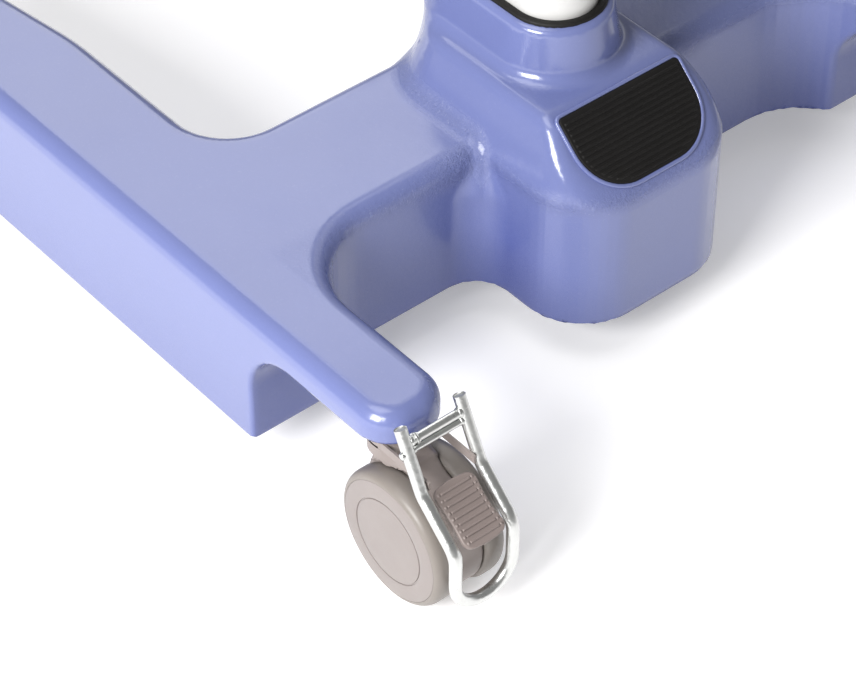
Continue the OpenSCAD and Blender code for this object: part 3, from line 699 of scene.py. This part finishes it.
def make_gasket():
    outer, inner = mast_outline(8, 46.9), mast_outline(0.1, 39)
    levels = [(outer, 283), (outer, 288.4), (inset_outline(outer, 0.5), 289.4),
              (inset_outline(outer, 1.6), 290), (inset_outline(inner, -2.2), 290),
              (inset_outline(inner, -0.6), 289.2), (inner, 288.0), (inner, 283), (outer, 283)]
    dress(mast_ring("mast_seal", levels), RUBBER, "base", "black_rubber", "mast_gasket")


# ---------- castors ----------

def housing_field(braked):
    """Castor housing in its stem's frame. A braked one has a boss and a slot for the pedal."""
    def field(x, y, z):
        from_axle = np.hypot(y + TRAIL, z - WHEEL_R)
        from_stem = np.hypot(x, y)
        flanks = np.abs(x) - HOUSING_W / 2
        disc = meet(from_axle - 59.0, flanks, 3.0)
        web = meet(np.maximum(np.abs(y + 9) - 21, np.abs(z - 91) - 37), flanks, 4.0)
        neck = np.maximum(meet(from_stem - NECK_R, z - 154.9, 2.0), 126 - z)
        neck = join(neck, meet(from_stem - COLLAR_R, np.abs(z - 147.4) - 7.4, 0.8), 4)
        body = join(join(disc, web, 18), neck, 12)
        if braked:
            boss = np.hypot(y - BRAKE_PIN_Y, z - BRAKE_PIN_Z) - 9.0
            body = join(body, meet(boss, flanks, 2.0), 8)
            slot = np.maximum(np.maximum(-130 - y, y + 68), np.maximum(92 - z, z - 124))
            body = np.maximum(body, -np.maximum(np.abs(x) - 6.5, slot))
        wheel_room = np.maximum(from_axle - WHEEL_R - 1.5, HOUSING_W / 2 - np.abs(x))
        body = np.maximum(np.maximum(body, -wheel_room), 16 - z)
        flange_room = np.maximum(from_stem - 23.1, 150.9 - z)
        bore = np.maximum(from_stem - 7.3, 110 - z)
        return np.maximum(np.maximum(body, -flange_room), -bore)
    return field


def wheel_pieces():
    """Disc and tyre of one wheel with its outer face towards +X, centred on its axle."""
    back, face = HOUSING_W / 2 + 0.3, CASTOR_W / 2
    hub = [(0, face - 5), (5.3, face - 5), (5.3, back + 0.2), (55.6, back + 0.2), (56.1, back + 1)]
    edge = [(56.1, face - 1.6), (55.7, face - 0.95), (54.6, face - 0.65), (51, face - 0.3), (46, face - 0.1)]
    groove = [(41.2, face), (40.5, face - 0.25), (40.2, face - 1.1), (39.3, face - 1.1), (39.0, face - 0.25)]
    middle = [(38.3, face), (28, face), (14, face), (0, face)]
    disc = lathe("disc_shape", hub + edge + groove + middle, (0, 0, 0), "X", 128, 25)
    shoulder = [(WHEEL_R - 6.4 * (1 - math.sin(a)), face - 1.1 - 9.5 * (1 - math.cos(a)))
                for a in np.linspace(0, math.pi / 2, 13)]
    tread = [(56.3, back + 0.3), (WHEEL_R - 4.2, back), (WHEEL_R - 1.3, back + 1.2), (WHEEL_R, back + 4.2)]
    tyre = lathe("tyre_shape", tread + shoulder[::-1] + [(56.1, face - 1.7)], (0, 0, 0), "X", 128, 50)
    return disc, tyre


def pedal_field(u, v, w):
    """Waisted pedal with curled ends and ribs, in its own frame: u across, v up the slope, w out of it."""
    half = 19.7 + 2.3 * (v / 25) ** 2
    plan = meet(np.abs(u) - half, np.abs(v) - (29 - 3.2 * (u / 22) ** 2), 8.0)
    top = 1.5 + 1.4 * (v / 29) ** 2 - 0.5 * (1 - (u / 22) ** 2)
    body = meet(plan, np.maximum(w - top, -w - 2.5), 1.3)
    rib = np.abs(v - 5.5 * np.round(v / 5.5))
    bars = meet(np.maximum(rib - 0.95, np.abs(u) - 15.0), np.maximum(w - top - 1.15, -w), 0.5)
    bars = np.maximum(bars, plan + 3.4)
    knobs = np.sqrt((np.abs(u) - 17.0) ** 2 + rib ** 2 + (w - top + 0.3) ** 2) - 1.35
    body = join(body, np.minimum(bars, np.maximum(knobs, plan + 1.8)), 0.5)
    from_pin = np.hypot(v + 0.24, w + 19.1)
    lug = meet(np.maximum(np.abs(u) - 5.8, np.abs(v) - 7), np.maximum(w + 1, -w - 17), 1.0)
    boss = meet(from_pin - 7.0, np.abs(u) - 5.8, 0.6)
    body = join(body, join(lug, boss, 2), 1.0)
    return np.maximum(body, 3.1 - from_pin)


def washer(name, corners, steps, centre, segments, sharp=32):
    """Small turned piece about X, from the rounded corners of its section."""
    return lathe(name, rounded_polygon(corners, steps), centre, "X", segments, sharp)


def guard_pieces(name):
    """Rod guard with its laps, weld beads, cross pin, second bar and washers, in the castor's frame."""
    elbows = [(-GUARD_X, y, z) for y, z in ((-41, 192), (-68, 138), (GUARD_Y, 101), (GUARD_Y, GUARD_Z))]
    side = bent_path(elbows, 24, 9)[:-1]
    bottom = [np.array([GUARD_X * math.cos(a), GUARD_Y, GUARD_Z + GUARD_X * math.sin(a)])
              for a in np.linspace(math.pi, 2 * math.pi, 25)]
    path = side + bottom + [p * np.array([-1, 1, 1]) for p in side[::-1]]
    parts = [sweep(name, path, 5.5, 24, 1.0)]
    for s in (-1, 1):
        top, foot = np.array([s * 27.2, -70.0, 135.6]), np.array([s * 27.2, -107.8, 100.8])
        lap = [top, top + (foot - top) * 0.5]
        lap += [foot + np.array([0, dy, dz]) for dy, dz in ((0.6, 0.8), (-0.9, -2.2), (-1.4, -11.0))]
        parts.append(sweep("rod_lap", lap, 3.0, 14, 1.2))
        for y, z, r in ((CROSS_PIN_Y, CROSS_PIN_Z, 5.2), (SECOND_BAR_Y, SECOND_BAR_Z, 4.2)):
            bead = [(0.01, -2.2, 0), (r, -2.2, 1.6), (r - 1.0, 2.2, 1.6), (0.01, 2.2, 0)]
            parts.append(washer("weld", bead, 5, (s * 24.6, y, z), 20, 60))
    for bar, y, z, r, segments in (("bar_a", CROSS_PIN_Y, CROSS_PIN_Z, 4.0, 20),
                                   ("bar_b", SECOND_BAR_Y, SECOND_BAR_Z, 3.0, 18)):
        parts.append(sweep(bar, [(-27, y, z), (0, y, z), (27, y, z)], r, segments, 0.6))
    for x, r in ((-20.8, 5.4), (-18.6, 4.9)):
        section = [(3.4, x - 0.7, 0.2), (r, x - 0.7, 0.3), (r, x + 0.7, 0.3), (3.4, x + 0.7, 0.2)]
        parts.append(washer("washer", section, 3, (0, CROSS_PIN_Y, CROSS_PIN_Z), 24))
    head = [(0.01, -1.9, 0), (3.0, -1.9, 0.9), (3.0, 1.6, 0.3), (0.01, 1.6, 0)]
    parts.append(washer("pin_head", head, 4, (-35.6, -50.8, 172.6), 20, 50))
    return merged(name, parts)


def make_castors():
    disc, tyre = wheel_pieces()
    pedal = field_object("pedal_shape", pedal_field, (-24.4, -31.2, -28), (24.4, 31.2, 5.6), 0.85)
    tip_mm(pedal, (0, -89.5, 119), math.radians(34))
    guard = guard_pieces("guard_shape")
    room = (-25, -97, 13), (25, 27.5, 154)
    shapes = {True: field_object("housing_a", housing_field(True), *room, 1.5),
              False: field_object("housing_b", housing_field(False), *room, 1.8)}
    for code, side, y in (("rl", -1, REAR_Y), ("rr", 1, REAR_Y), ("fl", -1, FRONT_Y), ("fr", 1, FRONT_Y)):
        stem = (side * STEM_X, y, 0)
        axle = (side * STEM_X, y - TRAIL, WHEEL_R)
        castor = "castor_" + code
        braked = code[0] == "r"
        housing = move_mm(copy_of(shapes[braked], "housing_" + code), stem)
        dress(housing, TAUPE, castor, "castor_plastic", "castor_housing_" + code)
        keep("castor_axle_" + code, STEEL)
        for which, face in (("outer", side), ("inner", -side)):
            body = "wheel_" + code + "_" + which
            for shape, material, part in ((disc, DISC, "disc"), (tyre, TYRE, "tyre")):
                piece = move_mm(copy_of(shape, part + "_" + code + "_" + which), axle, mirror=face < 0)
                dress(piece, material, body, "wheel_disc", body)
        if braked:
            plate = move_mm(copy_of(pedal, "pedal_plate_" + code), stem)
            dress(plate, PEDAL, "pedal_" + code, "pedal_plastic", "brake_pedal_" + code)
            rod = move_mm(copy_of(guard, "guard_rod_" + code), stem, mirror=side > 0)
            dress(rod, ZINC, castor, "zinc_rod", "guard_bail_" + code)
            keep("brake_pin_" + code, STEEL)
            keep("guard_strap_" + code, TAUPE, 0.3)
    for shape in (disc, tyre, pedal, guard, *shapes.values()):
        bpy.data.objects.remove(shape)
    keep("castor_stems", STEEL, 0.8)


# ---------- mast, boom, controls ----------

def block_distance(x, y, z, lo, hi, r):
    """Box with rounded edges of radius r."""
    q = [np.abs(v - (a + b) / 2) - ((b - a) / 2 - r) for v, a, b in zip((x, y, z), lo, hi)]
    outside = np.sqrt(np.maximum(q[0], 0) ** 2 + np.maximum(q[1], 0) ** 2 + np.maximum(q[2], 0) ** 2)
    return outside + np.minimum(np.maximum(np.maximum(q[0], q[1]), q[2]), 0) - r


def control_field(x, y, z):
    """Control box with its battery shelf, its bracket, and openings for keys, stop, screws and socket."""
    top, half = BOX_Z + BOX_H, BOX_W / 2
    depth = y - BOX_REAR
    body = block_distance(x, y, z, (-half, BOX_REAR, BOX_Z), (half, -256, top), 8)
    shelf = block_distance(x, y, z, (-half, -266, top - 20), (half, -256, top + PACK_H - 20), 3.5)
    body = join(body, shelf, 1)
    bracket = block_distance(x, y, z, (-34, -262, BOX_Z + 20), (34, -214, top + 100), 3)
    body = join(body, bracket, 3)
    body = np.maximum(body, -stadium(x, y - MAST_Y, MAST_W + 0.4, MAST_L + 0.4))
    panel = meet(np.maximum(np.abs(x) - 47, np.abs(z - BOX_Z - 78) - 60), depth - 1.3, 0.3)
    body = meet(body, -panel, 0.8)
    seam = np.maximum(np.abs(y + 304) - 0.9, -body - 1.3)
    body = np.maximum(body, -np.maximum(seam, z - top - 2))
    for cx, up, r, deep in ((-24, 98, 9.6, 14), (26, 112, 11.4, 9), (26, 78, 11.4, 9)):
        d = np.hypot(x - cx, z - (BOX_Z + up))
        bezel = np.hypot(np.maximum(np.abs(d - r - 2.2) - 1.2, 0), depth - 1.3) - 1.1
        body = np.maximum(join(body, bezel, 0.5), -np.maximum(d - r, depth - deep))
    for cx in (-48, 48):
        for cz in (BOX_Z + 10, top - 10):
            body = np.maximum(body, -np.maximum(np.hypot(x - cx, z - cz) - 3.4, depth - 2.0))
    socket = np.maximum(np.hypot(y + 290, z - BOX_Z - 45) - 9.2, x + half - 14)
    return np.maximum(body, -socket)


def battery_field(x, y, z):
    """Battery pack with a hand hold in its top, side vents, and a window and a plain recess on its face."""
    foot, half = BOX_Z + BOX_H + 0.3, BOX_W / 2
    top = foot + PACK_H
    body = block_distance(x, y, z, (-half, BOX_REAR, foot), (half, -266.3, top), 9)
    hold = block_distance(x, y, z, (-34, BOX_REAR + 14, top - 26), (34, -286, top + 20), 5)
    body = meet(body, -hold, 2.0)
    slot = block_distance(x, y, z, (-34, BOX_REAR - 20, top - 26), (34, BOX_REAR + 24, top - 12), 4)
    body = meet(body, -slot, 2.0)
    groove = np.abs((z - foot - 30) - 9 * np.round((z - foot - 30) / 9)) - 1.8
    vents = np.maximum(groove, np.abs(z - foot - 66) - 40)
    vents = np.maximum(vents, np.maximum(-body - 1.4, np.abs(y + 298) - 20))
    body = np.maximum(body, -vents)
    recess = meet(np.maximum(np.abs(x) - 36, np.abs(z - foot - 60) - 34), y - BOX_REAR - 0.9, 0.3)
    window = block_distance(x, y, z, (-16, BOX_REAR - 4, foot + 112), (16, BOX_REAR + 1.1, foot + 119), 1.0)
    return np.maximum(meet(body, -recess, 0.5), -window)


BOOM_SIDE = rounded_polygon([(MAST_Y - 78, 1176, 5), (MAST_Y + 84, 1176, 120), (HANGER_Y - 20, 1238, 2),
                             (HANGER_Y - 20, 1286, 2), (MAST_Y + 84, 1244, 120), (MAST_Y - 78, 1238, 5)], 5)
CHEEK_SIDE = rounded_polygon([(MAST_Y - 62, 1165, 2), (MAST_Y + 66, 1165, 2), (MAST_Y + 58, 1248, 22),
                              (MAST_Y - 54, 1238, 22)], 6)


def boom_field(x, y, z):
    """Boom with a boss at its end, bored for the hanger and sunk for its nut."""
    from_hanger = np.hypot(x, y - HANGER_Y)
    bar = meet(polygon_distance(y, z, BOOM_SIDE), np.abs(x) - 32, 7)
    boss = meet(from_hanger - 34, np.abs(z - 1258) - 30, 4)
    body = np.maximum(join(bar, boss, 9), 10.4 - from_hanger)
    return np.maximum(body, -np.maximum(from_hanger - 18, 1276 - z))


def head_field(x, y, z):
    """Mast head: a plate on the inner mast and a cheek on each side of the boom."""
    plate = meet(stadium(x, y - MAST_Y, MAST_W, MAST_L), np.abs(z - 1161) - 11, 3)
    cheek = meet(polygon_distance(y, z, CHEEK_SIDE), np.abs(np.abs(x) - 37) - 4, 1.5)
    return join(plate, cheek, 4)


def make_handle():
    """Push bar with its clamp, arms and weld beads as one piece, and the two grips as another."""
    half = HANDLE_W / 2
    bend = [(x, y, HANDLE_Z) for x, y in ((-half, HANDLE_Y), (-150, -372), (150, -372), (half, HANDLE_Y))]
    parts = [sweep("push_bar", bent_path(bend, 70, 8), 13, 28, 2.0)]
    outer, inner = mast_outline(8, 46.9), mast_outline(0.2, 39)
    lip, rim, chamfer = inset_outline(inner, -1.5), inset_outline(outer, 2.5), inset_outline(outer, 0.7)
    parts.append(mast_ring("clamp", [(inner, 926.5), (lip, 925), (rim, 925), (chamfer, 925.8), (outer, 927.5),
                                     (outer, 977.5), (chamfer, 979.2), (rim, 980), (lip, 980), (inner, 978.5),
                                     (inner, 926.5)]))
    for s in (-1, 1):
        arm = [(s * 46.5, MAST_Y - 52, 952), (s * 62, -300, 964), (s * 62, -371, 984.5)]
        parts.append(sweep("arm", bent_path(arm, 60, 8), 10, 22, 1.0))
        for a, b in (((62, -352, 979.2), (62, -364, 982.6)), ((43, -228, 953.3), (46, -240, 955.0))):
            a, b = np.array(a) * (s, 1, 1), np.array(b) * (s, 1, 1)
            parts.append(sweep("bead", [a, (a + b) / 2, b], 12.0, 22, 3.5))
    dress(merged("push_handle_tube", parts), HANDLE, "base", "handle_paint", "push_handle")
    turn = math.atan2(42, 70)
    profile = [(13.1, -64), (15.6, -64), (16.8, -62.6), (17.0, -60)]
    for k in range(9):
        t = -56 + 6.0 * k
        profile += [(17.0, t), (16.2, t + 1.0), (16.2, t + 2.2), (17.0, t + 3.2)]
    profile += [(17.0, 5), (16.2, 8), (14.0, 9.6), (8, 10), (0.01, 10), (0.01, 1.0), (13.1, 1.0)]
    grips = []
    for s in (-1, 1):
        grip = lathe("grip", profile, (0, 0, 0), "X", 40, 28)
        grips.append(move_mm(grip, (s * half, HANDLE_Y, HANDLE_Z), turn if s > 0 else math.pi - turn))
    dress(merged("soft_grips", grips), RUBBER, "base", "black_rubber", "handle_grips")


def make_spreader():
    """Sling bar of a hub, two half bars and two hooks as one piece, and the hooks' rubber tips as another."""
    hub = rounded_polygon([(7.2, -16.5, 0.6), (19, -16.5, 1.6), (19, 16.5, 1.6), (7.2, 16.5, 0.6)], 4)
    parts = [lathe("hub", hub, (0, HANGER_Y, TILT_Z), "Y", 56)]
    for s in (-1, 1):
        half = [(s * 210, HANGER_Y, 1074.5), (s * 60, HANGER_Y, TILT_Z), (s * 11, HANGER_Y, TILT_Z)]
        parts.append(sweep("half_bar", bent_path(half, 110, 10), 15, 30, 6.0))
        bowl = [(s * (HOOK_X - 24 - 24 * math.cos(a)), HANGER_Y, 1072 - 24 * math.sin(a))
                for a in np.linspace(0, math.pi, 17)]
        hook = [(s * 214, HANGER_Y, 1084)] + bowl + [(s * HOOK_X, HANGER_Y, 1098)]
        parts.append(sweep("hook", hook, 8, 22, 1.0))
        root = [(s * 211.5, HANGER_Y, 1084), (s * 213.0, HANGER_Y, 1072), (s * 214.4, HANGER_Y, 1060)]
        parts.append(sweep("root", root, 11, 24, 4.0))
    dress(merged("sling_bar", parts), WHITE, "spreader", "white_paint", "spreader_bar")
    ball = [(12 * math.sin(a), -12 * math.cos(a)) for a in np.linspace(0.72, math.pi - 0.02, 15)]
    ball = [(8.1, -9.3)] + ball + [(0.01, 12), (0.01, -4), (8.1, -4)]
    balls = [lathe("ball", ball, (s * HOOK_X, HANGER_Y, 1100), "Z", 36, 40) for s in (-1, 1)]
    dress(merged("hook_balls", balls), RUBBER, "spreader", "black_rubber", "hook_sleeves")


def make_upper():
    keep("mast_outer", WHITE, 0.6)
    keep("mast_bolts", STEEL, 0.8)
    keep("mast_collar", GREY, 1.2, 3)
    keep("guide_ring", DARK, 0)
    keep("mast_inner", WHITE, 0.5)
    keep("slide_shoe", DARK, 0)
    keep("actuator_body", GREY, 1.0)
    keep("actuator_rod", STEEL, 0.5)
    keep("head_bolts", STEEL, 1.2, 3)
    keep("hanger_nut", STEEL, 0.8)
    keep("tilt_pin", STEEL, 1.0)
    keep("clamp_bolts", STEEL, 0.8)
    keep("box_screws", STEEL, 0.3)
    keep("swivel_hanger", ZINC, 2.0, 3)
    beam = field_object("boom_beam", boom_field, (-36, -256, 1168), (36, 369, 1296), 3.2)
    dress(beam, WHITE, "lift", "white_paint", "boom")
    head = field_object("mast_head_casting", head_field, (-44, -256, 1146), (44, -84, 1252), 2.2)
    dress(head, WHITE, "lift", "white_paint", "mast_head")
    case = field_object("control_case", control_field, (-60, -334, 556), (60, -210, 864), 1.7)
    dress(case, GREY, "base", "grey_plastic", "control_box")
    pack = field_object("battery_case", battery_field, (-60, -334, 706), (60, -262, 884), 1.5)
    dress(pack, DARK, "battery", "battery_plastic", "battery_pack")
    make_handle()
    make_spreader()
    keep("emergency_stop", RED, 2.0, 3)
    keep("button_up", GREEN, 0.6)
    keep("button_down", GREEN, 0.6)
    keep("handset_socket", DARK, 0.6)


# ---------- stage ----------

def area_light(name, place, target, size, power, sheen_only=False):
    """Rectangular light in metres and watts. A sheen light reaches no diffuse surface."""
    data = bpy.data.lights.new(name, "AREA")
    data.shape = "RECTANGLE"
    data.size, data.size_y = size
    data.energy = power
    obj = bpy.data.objects.new(name, data)
    bpy.context.scene.collection.objects.link(obj)
    obj.visible_diffuse = not sheen_only
    obj.location = place
    obj.rotation_mode = "QUATERNION"
    obj.rotation_quaternion = (Vector(target) - Vector(place)).to_track_quat("-Z", "Y")


def make_floor():
    mesh = bpy.data.meshes.new("studio_floor")
    mesh.from_pydata([(-14, -14, 0), (14, -14, 0), (14, 14, 0), (-14, 14, 0)], [], [(0, 1, 2, 3)])
    floor = bpy.data.objects.new("studio_floor", mesh)
    bpy.context.scene.collection.objects.link(floor)
    paper = finish_material("floor_paper", rgb(244, 243, 243), 0.7, spread=0.006, tone_scale=1.5, grain=60,
                            wear=0.0, specular=0.2)
    mesh.materials.append(paper)
    shader = paper.node_tree.nodes["Principled BSDF"]
    shader.inputs["Emission Color"].default_value = PURE_WHITE
    shader.inputs["Emission Strength"].default_value = 0.33


def make_lights():
    world = bpy.data.worlds.new("studio")
    world.use_nodes = True
    world.node_tree.nodes["Background"].inputs["Color"].default_value = PURE_WHITE
    world.node_tree.nodes["Background"].inputs["Strength"].default_value = 0.29
    bpy.context.scene.world = world
    area_light("key", (-3.4, -1.0, 2.2), (-0.2, -0.3, 0.1), (1.7, 1.7), 205)
    area_light("sheen", (1.6, 3.2, 3.3), (0, 0, 0.2), (2.4, 3.6), 62, sheen_only=True)
    area_light("top", (-1.4, 0.4, 4.4), (0, 0, 0.3), (2.4, 2.4), 54)
    bpy.context.scene.view_settings.view_transform = "Standard"


def make_camera():
    data = bpy.data.cameras.new("camera")
    data.sensor_width = 36.0
    data.lens = 126.2
    data.clip_start, data.clip_end = 0.05, 60
    camera = bpy.data.objects.new("camera", data)
    bpy.context.scene.collection.objects.link(camera)
    azimuth, elevation = math.radians(-40), math.radians(43)
    level = math.cos(elevation)
    back = Vector((math.sin(azimuth) * level, -math.cos(azimuth) * level, math.sin(elevation)))
    camera.location = (-1.430, -1.746, 1.831)
    camera.rotation_mode = "QUATERNION"
    camera.rotation_quaternion = (-back).to_track_quat("-Z", "Y")
    bpy.context.scene.camera = camera


make_chassis()
make_pad()
make_gasket()
make_castors()
make_upper()
make_floor()
make_lights()
make_camera()

bpy.context.view_layer.update()
